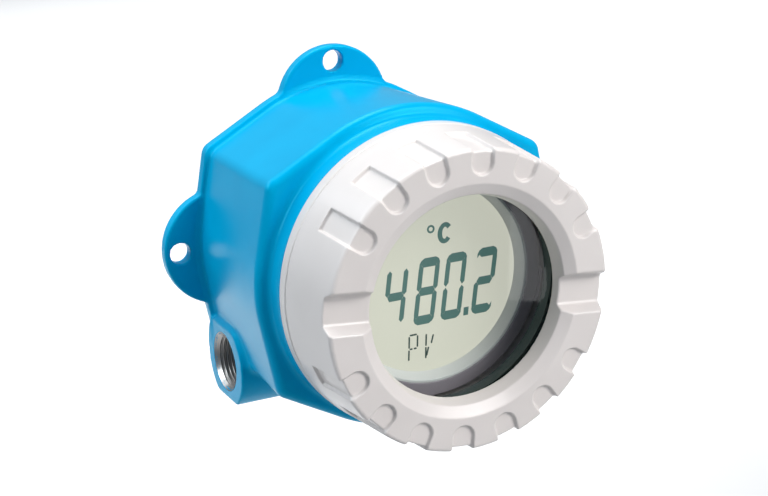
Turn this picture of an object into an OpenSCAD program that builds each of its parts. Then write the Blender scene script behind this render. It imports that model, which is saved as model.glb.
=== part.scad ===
// Field-mounted temperature transmitter with a screwed window cover and a plug-on display.
// Every depth is measured from the wall plane. The display faces -Y, the wall lies at y = 0
// and the cover axis runs through x = 0, z = 0.

/* [Cover] */
// Radius of the cover's rear rim
cover_rim_r = 55; // [50:0.5:60]
// Depth of the cover outside the housing, from its rim to the front ring
cover_depth = 35.1; // [30:0.1:45]
// How much the skirt's radius shrinks from the rim to the front ring
cover_taper = 2.5; // [0.5:0.1:4]
// Depth of the straight band at the rim
cover_band = 4.7; // [2:0.1:8]
// Width of the lip that covers the edge of the glass
window_lap = 8; // [6:0.1:12]
// Thickness of the lip in front of the glass, at the opening
lip_depth = 7.9; // [7:0.1:12]
// Width of the slope round the window opening
lip_slope = 4; // [1:0.1:4.5]
// Number of grip flutes between the two wrench notches
flutes_per_side = 7; // [3:1:7]
// Width of a grip flute
flute_w = 8.4; // [4:0.1:10]
// Depth of a grip flute
flute_depth = 1.3; // [0.5:0.1:2]
// Length of a grip flute along the skirt
flute_length = 19.6; // [8:0.1:24]
// Length of a grip flute on the front ring
flute_reach = 9.3; // [6:0.1:10]
// Width of the floor of a wrench notch
notch_w = 9.4; // [5:0.1:14]
// Depth of a wrench notch
notch_depth = 4.6; // [2:0.1:5]
// Angle at which the closed cover comes to rest
cover_angle = -5.5; // [-180:0.5:180]

/* [Housing] */
// Thickness of the mounting flange
flange_t = 5; // [3:0.1:6.5]
// How far the flange stands out round the body
flange_lip = 1.9; // [1:0.1:4]
// Thickness of the floor of the housing
floor_t = 7; // [6.5:0.1:9]
// Depth of the housing's body, without the collar
body_depth = 66.5; // [64:0.1:75]
// How much the body widens from the flange to its front edge
body_draft = 2.5; // [0.5:0.1:4]
// Width of the shoulder round the collar
shoulder = 4.5; // [3.5:0.1:8]
// Depth of the collar that the cover screws into
collar_depth = 8.7; // [8:0.1:12]
// Distance of a wall hole outside the flange's round sides
ear_reach = 6.3; // [5.5:0.1:12]
// Radius of a wall hole
ear_hole_r = 4; // [2:0.1:4.5]
// Radius of an ear's rounded end
ear_r = 22; // [15:0.1:26]
// Width of metal left outside a wall hole
ear_rim = 2; // [1.5:0.1:6]

/* [Cable entries] */
// Radius of the thread in a cable entry
entry_r = 10; // [8:0.1:11]
// Length of the thread in a cable entry
entry_thread = 14.7; // [8:0.1:16]
// Setback of a cable entry's face from the widest part of the body at the wall
entry_setback = 1.8; // [0:0.1:4]
// Distance of a cable entry's axis inside the body's lower side at the wall
entry_inset = 16.3; // [15:0.1:18]
// Radius of the round sides of a cable entry's boss
boss_r = 17.3; // [15:0.1:17.4]
// Half the height between the two flats of a cable entry's boss
boss_flat = 14.3; // [12.6:0.1:16]

/* [Window] */
// Thickness of the window glass
glass_t = 8; // [5:0.1:9]
// Thickness of the gasket in front of the glass
gasket_t = 0.6; // [0.4:0.1:2]
// Thickness of the retaining ring
ring_t = 5; // [3:0.1:6]
// Width of the retaining ring
ring_w = 4.5; // [3:0.1:6]
// Radius of the seal ring's cord
seal_cord_r = 1.2; // [1:0.05:1.3]

/* [Display] */
// Gap between the display's frame and the cover round it
frame_gap = 4.5; // [2:0.1:6]
// Width of the display's frame round the visible part
view_margin = 8; // [6.5:0.1:12]
// Room in front of the display, in which it is pulled off its socket
display_room = 5.5; // [5.1:0.1:8]
// Depth of the sloped rim in front of the display glass
frame_slope = 4.4; // [2:0.1:5]
// Thickness of the display glass
lcd_t = 1.7; // [1:0.1:2.2]
// Thickness of the display's circuit board
display_board_t = 1.6; // [1:0.1:2]
// Gap between the display's circuit board and its glass
display_gap = 3.6; // [3:0.1:5]
// Radius of a guide post
post_r = 2.4; // [1.5:0.1:3]

/* [Electronics module] */
// Gap between the module's case and the housing round it
module_gap = 6; // [4:0.1:8]
// Distance from the middle down to the module's straight lower edge
module_drop = 26; // [25:0.1:28]
// Depth of the pillars that the module stands on
pillar_depth = 19.5; // [14:0.1:20]
// Radius of a pillar
pillar_r = 4.8; // [4:0.1:5.5]
// Depth of the space for components on the main circuit board
component_room = 8.4; // [8:0.1:10]
// Wall of the module's case
case_wall = 2; // [1.2:0.1:3]
// Thickness of the module's lid
lid_t = 2; // [1.5:0.1:3]
// Thickness of the main circuit board
board_t = 1.6; // [1:0.1:2]

/* [Terminals] */
// Distance from one terminal to the next
way_pitch = 8; // [7.6:0.1:8.4]
// Height of a terminal block along the display's upright
block_h = 13; // [12:0.1:14]
// Depth of a terminal block from the lid to its front
block_depth = 9.6; // [9:0.1:10.5]
// Radius of a terminal screw's head
screw_head_r = 2.6; // [2.2:0.1:2.8]
// Radius of a terminal screw's shank
screw_r = 1.45; // [1:0.05:1.6]
// Travel of a terminal screw
screw_travel = 2.5; // [1:0.1:2.6]

/* [Hidden] */

// Overrun of a cut past the face that it opens
cut = 1;
// Gap between curved faces of two bodies
clear = 0.3;
// Gap between flat faces that lie on one another
seat = 0.1;
// Facets of a true circle
round_fn = 96;
$fn = round_fn;

// Places of the housing along its depth
collar_top = body_depth + collar_depth;
edge_round = 3;
bevel_share = 0.3;
corner_round = 5;
corner_angle = 36;
corner_half = 25;
arc_step = 8;
slice_t = 0.02;

// Radii of the collar, the neck and the body, from the cover's rim inwards and outwards
collar_step = 0.2;
collar_r = cover_rim_r - collar_step;
collar_lip = 1.8;
seal_seat_r = collar_r - collar_lip;
seal_step = 2 * seal_cord_r + clear;
neck_bore_r = seal_seat_r - seal_step;
neck_r = neck_bore_r - clear;
cavity_step = 1.3;
cavity_r = neck_bore_r - cavity_step;
front_r = collar_r + shoulder;
base_r = front_r - body_draft;
flange_r = base_r + flange_lip;
collar_fillet = 2.2;
seal_seat_depth = 3.5;
neck_bore_depth = 13.2;

// Wall ears
ear_pitch_r = flange_r + ear_reach;
ear_centre = ear_pitch_r + ear_hole_r + ear_rim - ear_r;
ear_edge = 0.8;

// Cored pockets in the back of the housing
pocket_count = 8;
pocket_depth = 2.5;
pocket_in_r = 20;
pocket_wall = 6;
pocket_angle = 31;

// Cable entry bosses
entry_face = base_r - entry_setback;
entry_drop = base_r - entry_inset;
entry_chamfer = 1.3;
entry_inner_wall = 1.4;
entry_depth = boss_r + seat * 2;
boss_root = 25;
entry_run_in = 18;

// Cover
cover_back = collar_top + clear;
cover_front = cover_back + cover_depth;
cover_front_r = cover_rim_r - cover_taper;
neck_length = 11;
neck_wall = 3.5;
cover_bore_r = neck_r - neck_wall;
cover_round = 1.3;
rim_groove = 0.5;
lip_slope_depth = 2.1;
window_flare = 1.3;
notch_run_share = 0.53;
notch_step_angle = 30;
flute_step_angle = 120 / 6;
flute_inset = flute_reach - flute_w / 2;

// Window parts, stacked behind the lip
lip_back = cover_front - lip_depth;
glass_front = lip_back - gasket_t - seat;
glass_back = glass_front - glass_t;
ring_front = glass_back - seat;
ring_back = ring_front - ring_t;
ring_land = 1.2;
ring_seat_r = cover_bore_r - ring_land;
glass_land = 2;
glass_seat_r = ring_seat_r - glass_land;
window_r = glass_seat_r - window_lap;
glass_r = glass_seat_r - clear;
glass_bevel = 0.6;
gasket_lap = 0.7;
ring_holes = 4;
ring_hole_share = 0.25;
ring_hole_depth = 2;
seal_r = neck_r + clear / 2 + seal_cord_r;
seal_front_gap = clear;

// Display, stacked behind the retaining ring and the room in front of it
frame_r = cover_bore_r - frame_gap;
view_r = frame_r - view_margin;
frame_flare = 2.2;
frame_wall = 2;
frame_lip_wall = 3.7;
frame_front = ring_back - display_room;
view_back = frame_front - frame_slope;
lcd_front = view_back - seat;
lcd_back = lcd_front - lcd_t;
display_board_front = lcd_back - display_gap;
display_board_back = display_board_front - display_board_t;
frame_back = display_board_back - clear;
back_plate = 1.8;
back_rim = 0.5;
back_wall = 2;
display_back_at = frame_back - seat - back_rim - back_plate;
tab_count = 4;
tab_turn = -11;
tab_w = 10;
tab_flank = 2;
tab_steps = 3;
tab_out = 1.3;
tab_depth = 4;
reflector_t = 1.6;
reflector_share = 0.65;
reflector_half = view_r * reflector_share;
zebra_place_share = 0.765;
zebra_place = view_r * zebra_place_share;
zebra_w = 2.4;
zebra_length_share = 1.3;
zebra_length = view_r * zebra_length_share;
chip_shares = [[-0.26, 0.16, 0.17, 0.17], [0.06, 0.17, 0.24, 0.13], [-0.17, -0.16, 0.30, 0.12],
    [0.24, -0.13, 0.10, 0.15]];
chip_t = 1.2;

// Terminals, stacked so that a raised screw stays clear of the display's back
sensor_ways = 4;
supply_ways = 2;
ways = sensor_ways + supply_ways;
back_clear = 0.6;
cell_wall = 0.7;
cell_floor = 3.1;
cell_h = 9;
contact_t = 1;
clamp_t = 1.2;
clamp_fit = 0.35;
hole_fit = 0.3;
screw_head_depth = 2.2;
screw_foot = 0.6;
wire_slot_w = 4.6;
wire_slot_depth = 3.4;
clamp_reach = cell_floor + 2 * seat + contact_t + clamp_t;
block_back = display_back_at - back_clear - max(block_depth, clamp_reach + screw_head_depth + screw_travel);
block_front = block_back + block_depth;
cell_back = block_back + cell_floor;
contact_back = cell_back + seat;
contact_front = contact_back + contact_t;
clamp_back = contact_front + seat;
clamp_front = clamp_back + clamp_t;
block_edge = 0.5;
block_gap = 2;
block_foot = 1.5;
block_low = -module_drop + block_foot;
block_mid = block_low + block_h / 2;
block_span = ways * way_pitch + 4 * block_edge + block_gap;

// Electronics module, between the pillars and the terminals
module_r = cavity_r - module_gap;
lid_front = block_back - seat;
lid_back = lid_front - lid_t;
case_front = lid_back - seat;
board_front = case_front - component_room;
board_back = board_front - board_t;
pillar_top = floor_t + pillar_depth;
case_back = pillar_top + seat;
case_base = 3;
potting_back = case_back + case_base + seat;
potting_gap = 2.6;
potting_front = board_back - potting_gap;
pillar_inset = 7;
pillar_place_r = module_r - pillar_inset;
pillar_angles = [90, 205, 335];
pillar_hole_r = 1.65;
pillar_hole_depth = 11;
rib_w = 3;
rib_drop = 4;
well_r = 4.6;
well_wall = 1.2;
well_hole_r = 2.3;
module_screw_r = 1.5;
module_screw_head_r = 3.4;
module_screw_head = 2.4;
module_screw_length = 11.5;
driver_slot_w = 0.8;
driver_slot_depth = 1;
post_angles = [35, 145];
post_place_r = pillar_place_r;
post_gap = 0.6;
sleeve_wall = 1.4;
sleeve_depth = 7;

// Plug between the display and the module
plug_place = 5;
plug_w = 20;
plug_h = 5;
plug_depth = 3.6;
socket_wall = 1;
socket_gap = 0.6;
pin_count = 8;
pin_pitch = 2;
pin_r = 0.3;
pin_hole_r = 0.6;
pin_sink = 4.5;
socket_back = lid_front + seat;
plug_back = display_back_at - plug_depth;
socket_front = plug_back - socket_gap;

// Switches
dip_place = [0, 22];
dip_w = 8.4;
dip_h = 6.4;
dip_depth = 3.4;
dip_pitch = 3.6;
dip_slot_w = 2.2;
dip_slot_h = 4.4;
dip_slot_depth = 1.8;
slider_w = 1.6;
slider_h = 1.8;
slider_depth = 2.3;

// Components of the main board, as shares of the module's radius
component_shares = [[-0.45, 0.30, 0.30, 0.24, 0.14], [0.30, 0.35, 0.26, 0.26, 0.12],
    [0.02, 0.12, 0.22, 0.22, 0.10], [-0.50, -0.18, 0.24, 0.18, 0.10], [0.45, -0.12, 0.20, 0.16, 0.08]];
coil_shares = [[-0.12, 0.62, 0.11, 0.15], [0.22, 0.66, 0.09, 0.13], [0.02, -0.30, 0.12, 0.15]];

// Ground terminals
ground_boss_r = 5;
ground_boss_depth = 5;
ground_plate = 9;
ground_plate_t = 1.5;
ground_plate_hole_r = 2.1;
ground_head_r = 3.6;
ground_head_depth = 2.6;
ground_screw_r = 1.55;
ground_hole_r = 1.8;
ground_sink = 6;
outer_boss_r = 6.5;
outer_boss_out = 1.7;
outer_depth = 40;
outer_plate = 11;
outer_plate_t = 1.8;
outer_plate_hole_r = 2.4;
outer_lug = 2;
outer_head_r = 4.2;
outer_head_depth = 3.2;
outer_screw_r = 1.85;
outer_hole_r = 2.1;
outer_sink = 9;
outer_face = front_r + outer_boss_out;
outer_floor = cavity_r + collar_lip;

// Points of an arc of the given radius between two angles
function arc(r, from, to, steps) =
    [for (i = [0:steps]) r * [cos(from + (to - from) * i / steps), sin(from + (to - from) * i / steps)]];

// Rounded corner between the two straight sides that meet at the angle at
function corner(r, at) =
    let (middle = (r - corner_round) / cos(corner_half) * [cos(at), sin(at)])
    [for (i = [-2:2]) middle + corner_round * [cos(at + corner_half * i / 2), sin(at + corner_half * i / 2)]];

// Outline of the housing: four arcs of radius r and four corners whose sides touch them
function outline(r) =
    let (flat_top = 90 - corner_angle - corner_half, flat_side = corner_angle - corner_half)
    concat(
        arc(r, 90 - flat_top, 90 + flat_top, round(2 * flat_top / arc_step)),
        corner(r, 180 - corner_angle),
        arc(r, 180 - flat_side, 180 + flat_side, round(2 * flat_side / arc_step)),
        corner(r, 180 + corner_angle),
        arc(r, 270 - flat_top, 270 + flat_top, round(2 * flat_top / arc_step)),
        corner(r, -corner_angle),
        arc(r, -flat_side, flat_side, round(2 * flat_side / arc_step)),
        corner(r, corner_angle));

// Stands a shape up so that its own Z points out of the wall, along -Y
module stand() {
    rotate([90, 0, 0]) children();
}

// Turns a shape so that its own Z points to the side, along +X when side is 1
module sideways(side) {
    rotate([0, side * 90, 0]) children();
}

// Disc or bar between two depths
module disc(r, from, to) {
    translate([0, 0, from]) cylinder(r = r, h = to - from);
}

// Block centred in width and height between two depths
module block(w, h, from, to) {
    translate([-w / 2, -h / 2, from]) cube([w, h, to - from]);
}

// Thin slice of the housing's outline
module slice(r, at) {
    translate([0, 0, at]) linear_extrude(slice_t) polygon(outline(r));
}

module body_shell() {
    hull() {
        slice(base_r, flange_t - slice_t);
        slice(front_r, body_depth - edge_round);
        slice(front_r - edge_round * bevel_share, body_depth - edge_round * bevel_share);
        slice(front_r - edge_round, body_depth - slice_t);
    }
}

module flange() {
    hull() {
        slice(flange_r, 0);
        slice(flange_r, flange_t - ear_edge);
        slice(flange_r - ear_edge, flange_t - slice_t);
    }
}

module ear() {
    translate([ear_centre, 0, 0]) {
        disc(ear_r, 0, flange_t - ear_edge);
        translate([0, 0, flange_t - ear_edge]) cylinder(r1 = ear_r, r2 = ear_r - ear_edge, h = ear_edge);
    }
}

module collar() {
    fillet = [for (i = [0:6]) [
        collar_r + collar_fillet * (1 - sin(15 * i)),
        body_depth + collar_fillet * (1 - cos(15 * i))]];
    rotate_extrude() polygon(concat(
        [[cavity_r - cut, body_depth - edge_round], [collar_r + collar_fillet, body_depth - edge_round]],
        fillet,
        [[collar_r, collar_top], [cavity_r - cut, collar_top]]));
}

module entry_boss(side) {
    translate([0, -entry_drop, entry_depth]) sideways(side) intersection() {
        disc(boss_r, boss_root, entry_face);
        translate([-boss_r, -boss_flat, 0]) cube([2 * boss_r, 2 * boss_flat, entry_face + cut]);
    }
}

module entry_bore(side) {
    thread_start = entry_face - entry_chamfer;
    translate([0, -entry_drop, entry_depth]) sideways(side) {
        disc(entry_r - entry_inner_wall, entry_run_in, entry_face);
        disc(entry_r, thread_start - entry_thread, entry_face + cut);
        translate([0, 0, thread_start]) cylinder(r1 = entry_r, r2 = entry_r + entry_chamfer + cut,
            h = entry_chamfer + cut);
    }
}

module cavity() {
    disc(cavity_r, floor_t, collar_top - neck_bore_depth + cut);
    disc(neck_bore_r, collar_top - neck_bore_depth, collar_top + cut);
    disc(seal_seat_r, collar_top - seal_seat_depth, collar_top + cut);
}

module back_pockets() {
    for (i = [0:pocket_count - 1])
        rotate([0, 0, 360 / pocket_count * (i + 1 / 2) - pocket_angle / 2])
            rotate_extrude(angle = pocket_angle)
                translate([pocket_in_r, -cut])
                    square([cavity_r - pocket_wall - pocket_in_r, pocket_depth + cut]);
}

module pillars() {
    for (a = pillar_angles) rotate([0, 0, a]) {
        translate([pillar_place_r, 0, 0]) disc(pillar_r, floor_t - cut, pillar_top);
        translate([pillar_place_r, -rib_w / 2, floor_t - cut])
            cube([cavity_r + cut - pillar_place_r, rib_w, pillar_top - rib_drop - floor_t + cut]);
    }
    translate([0, -entry_drop, 0]) disc(ground_boss_r, floor_t - cut, floor_t + ground_boss_depth);
}

module pillar_holes() {
    for (a = pillar_angles) rotate([0, 0, a]) translate([pillar_place_r, 0, 0])
        disc(pillar_hole_r, pillar_top - pillar_hole_depth - cut, pillar_top + cut);
    translate([0, -entry_drop, 0])
        disc(ground_hole_r, floor_t + ground_boss_depth - ground_sink - cut, floor_t + ground_boss_depth + cut);
}

module housing() {
    color("deepskyblue") stand() difference() {
        union() {
            difference() {
                union() {
                    body_shell();
                    flange();
                    for (a = [0:90:270]) rotate([0, 0, a]) ear();
                    collar();
                    for (side = [-1, 1]) entry_boss(side);
                    translate([0, 0, outer_depth]) sideways(1) disc(outer_boss_r, cavity_r, outer_face);
                }
                cavity();
            }
            pillars();
        }
        pillar_holes();
        back_pockets();
        for (side = [-1, 1]) entry_bore(side);
        for (a = [0:90:270]) rotate([0, 0, a]) translate([ear_pitch_r, 0, 0]) disc(ear_hole_r, -cut, flange_t + cut);
        translate([0, 0, outer_depth]) sideways(1) disc(outer_hole_r, outer_floor, outer_face + cut);
    }
}

// Outer profile of the cover, moved inwards by the given amount
function cover_skin(inwards) = [
    [cover_rim_r - inwards, cover_back],
    [cover_rim_r - inwards, cover_back + cover_band],
    [cover_front_r - inwards, cover_front - cover_round],
    [cover_front_r - inwards - cover_round * bevel_share, cover_front - inwards - cover_round * bevel_share],
    [cover_front_r - inwards - cover_round, cover_front - inwards]];

module cover_blank() {
    rotate_extrude() polygon(concat(
        [[neck_r, cover_back - neck_length], [neck_r, cover_back]],
        cover_skin(0),
        [[window_r + window_flare + lip_slope, cover_front],
            [window_r + window_flare, cover_front - lip_slope_depth],
            [window_r, lip_back],
            [glass_seat_r, lip_back],
            [glass_seat_r, glass_back],
            [ring_seat_r, glass_back],
            [ring_seat_r, ring_back],
            [cover_bore_r, ring_back],
            [cover_bore_r, cover_back - neck_length]]));
}

// Ring of material that the flutes may cut into
module flute_skin() {
    outside = cover_rim_r + cover_taper;
    rotate_extrude() difference() {
        translate([window_r, cover_front - flute_length])
            square([outside - window_r, flute_length + cut]);
        polygon(concat(cover_skin(flute_depth), [[0, cover_front - flute_depth], [0, cover_back]]));
    }
}

module flute() {
    middle = cover_front_r - flute_inset;
    translate([middle, 0, 0]) disc(flute_w / 2, cover_back, cover_front + 2 * cut);
    translate([middle, -flute_w / 2, cover_back])
        cube([cover_rim_r, flute_w, cover_depth + 2 * cut]);
}

module flutes() {
    for (side = [0, 180])
        for (i = [0:flutes_per_side - 1])
            rotate([0, 0, side + 90 + (i - (flutes_per_side - 1) / 2) * flute_step_angle]) flute();
}

module notches() {
    run = notch_run_share * (notch_depth + cut);
    half = notch_w / 2;
    rotate([90, 0, 90]) translate([0, 0, -cover_rim_r]) linear_extrude(2 * cover_rim_r) polygon([
        [-half, cover_front - notch_depth],
        [half, cover_front - notch_depth],
        [half + run, cover_front + cut],
        [-half - run, cover_front + cut]]);
}

module cover() {
    color("gainsboro") stand() rotate([0, 0, cover_angle]) difference() {
        cover_blank();
        intersection() {
            flute_skin();
            flutes();
        }
        notches();
        rotate_extrude() translate([cover_rim_r, cover_back + cover_band]) circle(rim_groove, $fn = 4);
    }
}

module window_gasket() {
    color("black") stand() difference() {
        disc(glass_r, glass_front + seat / 2, lip_back - seat / 2);
        disc(window_r + gasket_lap, glass_front, lip_back);
    }
}

module window_glass() {
    color("azure", 0.4) stand() {
        disc(glass_r, glass_back + glass_bevel, glass_front - glass_bevel);
        translate([0, 0, glass_front - glass_bevel])
            cylinder(r1 = glass_r, r2 = glass_r - glass_bevel, h = glass_bevel);
        translate([0, 0, glass_back])
            cylinder(r1 = glass_r - glass_bevel, r2 = glass_r, h = glass_bevel);
    }
}

module retaining_ring() {
    outer = ring_seat_r - clear;
    color("dimgray") stand() difference() {
        disc(outer, ring_back, ring_front);
        disc(outer - ring_w, ring_back - cut, ring_front + cut);
        for (i = [0:ring_holes - 1]) rotate([0, 0, 360 / ring_holes * (i + 0.5)])
            translate([outer - ring_w / 2, 0, ring_back - cut])
                cylinder(r = ring_w * ring_hole_share, h = ring_hole_depth + cut, $fn = 16);
    }
}

module cover_seal() {
    color("black") stand() translate([0, 0, cover_back - seal_front_gap - seal_cord_r])
        rotate_extrude() translate([seal_r, 0]) circle(seal_cord_r, $fn = 48);
}

// Display

module display_frame() {
    color("lightsteelblue") stand() difference() {
        disc(frame_r, frame_back, frame_front);
        disc(frame_r - frame_wall, frame_back - cut, lcd_back);
        disc(frame_r - frame_lip_wall, lcd_back - cut, view_back);
        disc(view_r, view_back - cut, frame_front);
        translate([0, 0, view_back]) cylinder(r1 = view_r, r2 = view_r + frame_flare, h = frame_slope);
        disc(view_r, frame_front - cut, frame_front + cut);
    }
}

// Outline of one tab: sloped flanks, and an inner side that follows the frame
function tab_outline() = let (inner = frame_r + seat, half = asin((tab_w / 2 + tab_flank) / inner)) concat(
    [[frame_r + tab_out, -tab_w / 2], [frame_r + tab_out, tab_w / 2]],
    [for (i = [tab_steps:-1:-tab_steps]) inner * [cos(half * i / tab_steps), sin(half * i / tab_steps)]]);

module display_tabs() {
    color("slategray") stand() for (i = [0:tab_count - 1])
        rotate([0, 0, 360 / tab_count * i + tab_turn]) translate([0, 0, frame_front - tab_depth])
            linear_extrude(tab_depth) polygon(tab_outline());
}

module lcd_glass() {
    color("darkseagreen") stand() disc(frame_r - frame_lip_wall - clear, lcd_back + seat, lcd_front);
}

module lcd_reflector() {
    color("whitesmoke") stand() intersection() {
        disc(frame_r - frame_lip_wall - clear, lcd_back - reflector_t, lcd_back);
        block(2 * frame_r, 2 * reflector_half, lcd_back - reflector_t, lcd_back);
    }
}

module zebra_strips() {
    color("dimgray") stand() for (side = [-1, 1]) translate([0, side * zebra_place, 0])
        block(zebra_length, zebra_w, display_board_front, lcd_back);
}

module display_board() {
    color("darkgreen") stand() disc(frame_r - frame_wall - clear, display_board_back, display_board_front);
}

module display_chips() {
    color("darkslategray") stand() for (c = chip_shares)
        translate(frame_r * [c[0], c[1], 0])
            block(frame_r * c[2], frame_r * c[3], display_board_front, display_board_front + chip_t);
}

module display_back() {
    color("gray") stand() {
        difference() {
            disc(frame_r, display_back_at, frame_back - seat);
            disc(frame_r - back_wall, display_back_at + back_plate, frame_back + cut);
        }
        for (a = post_angles) rotate([0, 0, a]) translate([post_place_r, 0, 0])
            disc(post_r, lid_front + post_gap, display_back_at + seat);
    }
}

module pin_rows() {
    for (i = [0:pin_count - 1])
        for (row = [-1, 1])
            translate([(i - (pin_count - 1) / 2) * pin_pitch, row * pin_pitch / 2, 0]) children();
}

module display_plug() {
    color("black") stand() translate([0, plug_place, 0]) {
        block(plug_w, plug_h, plug_back, display_back_at);
        pin_rows() disc(pin_r, plug_back - pin_sink, plug_back + seat);
    }
}

module display_socket() {
    color("black") stand() translate([0, plug_place, 0]) difference() {
        block(plug_w, plug_h, socket_back, socket_front);
        pin_rows() disc(pin_hole_r, plug_back - pin_sink - socket_wall, socket_front + cut);
    }
}

// Electronics module

// Round plate with a straight lower edge
module module_plate(r, drop, from, to) {
    intersection() {
        disc(r, from, to);
        translate([-r, -drop, from - cut]) cube([2 * r, r + drop, to - from + 2 * cut]);
    }
}

module wells(r, from, to) {
    for (a = pillar_angles) rotate([0, 0, a]) translate([pillar_place_r, 0, 0]) disc(r, from, to);
}

module module_case() {
    color("darkslategray") stand() difference() {
        union() {
            difference() {
                module_plate(module_r, module_drop, case_back, case_front);
                module_plate(module_r - case_wall, module_drop - case_wall, case_back + case_base, case_front + cut);
            }
            intersection() {
                wells(well_r + well_wall, case_back, case_front);
                module_plate(module_r, module_drop, case_back, case_front);
            }
        }
        wells(well_r, case_back + case_base, case_front + cut);
        wells(well_hole_r, case_back - cut, case_back + case_base + cut);
    }
}

module potting_block() {
    color("black") stand() difference() {
        module_plate(module_r - case_wall - clear, module_drop - case_wall - clear, potting_back, potting_front);
        wells(well_r + well_wall + clear, potting_back - cut, potting_front + cut);
    }
}

module main_board() {
    color("darkgreen") stand() difference() {
        module_plate(module_r - case_wall - clear, module_drop - case_wall - clear, board_back, board_front);
        wells(well_r + well_wall + clear, board_back - cut, board_front + cut);
    }
}

module board_components() {
    color("dimgray") stand() {
        for (c = component_shares) translate(module_r * [c[0], c[1], 0])
            block(module_r * c[2], module_r * c[3], board_front, board_front + module_r * c[4]);
        for (c = coil_shares) translate(module_r * [c[0], c[1], 0])
            disc(module_r * c[2], board_front, board_front + module_r * c[3]);
    }
}

module module_lid() {
    color("silver") stand() difference() {
        union() {
            module_plate(module_r, module_drop, lid_back, lid_front);
            for (a = post_angles) rotate([0, 0, a]) translate([post_place_r, 0, 0])
                disc(post_r + clear + sleeve_wall, lid_front - seat, lid_front + sleeve_depth);
        }
        wells(well_r, lid_back - cut, lid_front + cut);
        for (a = post_angles) rotate([0, 0, a]) translate([post_place_r, 0, 0])
            disc(post_r + clear, lid_front, lid_front + sleeve_depth + cut);
    }
}

module slotted_screw(r, length, head_r, head, at) {
    difference() {
        union() {
            disc(r, at - length, at + seat);
            disc(head_r, at, at + head);
        }
        block(2 * head_r + cut, driver_slot_w, at + head - driver_slot_depth, at + head + cut);
    }
}

module module_screws() {
    head_at = case_back + case_base + seat;
    color("silver") stand() for (a = pillar_angles) rotate([0, 0, a]) translate([pillar_place_r, 0, 0])
        slotted_screw(module_screw_r, module_screw_length, module_screw_head_r, module_screw_head, head_at);
}

// Terminals, numbered from the left

// Middle of one terminal: the supply block starts after a gap
function way_x(i) = -block_span / 2 + block_edge + way_pitch * (i + 1 / 2)
    + (i < sensor_ways ? 0 : 2 * block_edge + block_gap);

module terminal_block(first, count) {
    low = way_x(first) - way_pitch / 2 - block_edge;
    cell_w = way_pitch - 2 * cell_wall;
    difference() {
        translate([low, block_low, block_back]) cube([count * way_pitch + 2 * block_edge, block_h, block_depth]);
        for (i = [first:first + count - 1]) translate([way_x(i), block_mid, 0]) {
            block(cell_w, cell_h, cell_back, block_front + cut);
            disc(screw_r + hole_fit, block_back - cut, cell_back + cut);
            translate([-wire_slot_w / 2, -block_h / 2 - cut, contact_front])
                cube([wire_slot_w, block_h / 2, wire_slot_depth]);
        }
    }
}

module sensor_terminal_block() {
    color("darkgreen") stand() terminal_block(0, sensor_ways);
}

module supply_terminal_block() {
    color("darkorange") stand() terminal_block(sensor_ways, supply_ways);
}

module terminal_contacts() {
    contact_w = way_pitch - 2 * cell_wall - 2 * clear;
    color("gold") stand() for (i = [0:ways - 1]) translate([way_x(i), block_mid, 0]) difference() {
        block(contact_w, cell_h - 2 * clear, contact_back, contact_front);
        disc(screw_r + hole_fit, contact_back - cut, contact_front + cut);
    }
}

module terminal_clamp(i) {
    clamp_w = way_pitch - 2 * cell_wall - 2 * clamp_fit;
    color("silver") stand() translate([way_x(i), block_mid, 0]) difference() {
        block(clamp_w, clamp_w, clamp_back, clamp_front);
        disc(screw_r + hole_fit, clamp_back - cut, clamp_front + cut);
    }
}

module terminal_screw(i) {
    color("silver") stand() translate([way_x(i), block_mid, 0])
        slotted_screw(screw_r, clamp_front - block_back - screw_foot, screw_head_r, screw_head_depth, clamp_front);
}

// Switches

module dip_switch_body() {
    dip_back = lid_front + seat;
    color("firebrick") stand() translate([dip_place[0], dip_place[1], 0]) difference() {
        block(dip_w, dip_h, dip_back, dip_back + dip_depth);
        for (side = [-1, 1]) translate([side * dip_pitch / 2, 0, 0])
            block(dip_slot_w, dip_slot_h, dip_back + dip_depth - dip_slot_depth, dip_back + dip_depth + cut);
    }
}

module dip_slider(side) {
    slider_back = lid_front + 2 * seat + dip_depth - dip_slot_depth;
    play = (dip_slot_h - slider_h) / 2 - clear;
    color("white") stand() translate([dip_place[0] + side * dip_pitch / 2, dip_place[1] - play, 0])
        block(slider_w, slider_h, slider_back, slider_back + slider_depth);
}

// Ground terminals

module ground_plate_shape(size, t, hole_r, lug, at) {
    difference() {
        union() {
            block(size, size, at, at + t);
            translate([-size / 2, -size / 2, at - lug]) cube([size, t, lug + seat]);
        }
        disc(hole_r, at - lug - cut, at + t + cut);
    }
}

module inner_ground_clamp() {
    color("silver") stand() translate([0, -entry_drop, 0])
        ground_plate_shape(ground_plate, ground_plate_t, ground_plate_hole_r, 0,
            floor_t + ground_boss_depth + seat);
}

module inner_ground_screw() {
    color("silver") stand() translate([0, -entry_drop, 0])
        slotted_screw(ground_screw_r, ground_sink, ground_head_r, ground_head_depth,
            floor_t + ground_boss_depth + seat + ground_plate_t);
}

module outer_ground_clamp() {
    color("silver") stand() translate([0, 0, outer_depth]) sideways(1) rotate([0, 0, 90])
        ground_plate_shape(outer_plate, outer_plate_t, outer_plate_hole_r, 0, outer_face + seat);
}

module outer_ground_screw() {
    color("silver") stand() translate([0, 0, outer_depth]) sideways(1)
        slotted_screw(outer_screw_r, outer_sink, outer_head_r, outer_head_depth,
            outer_face + seat + outer_plate_t);
}

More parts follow.
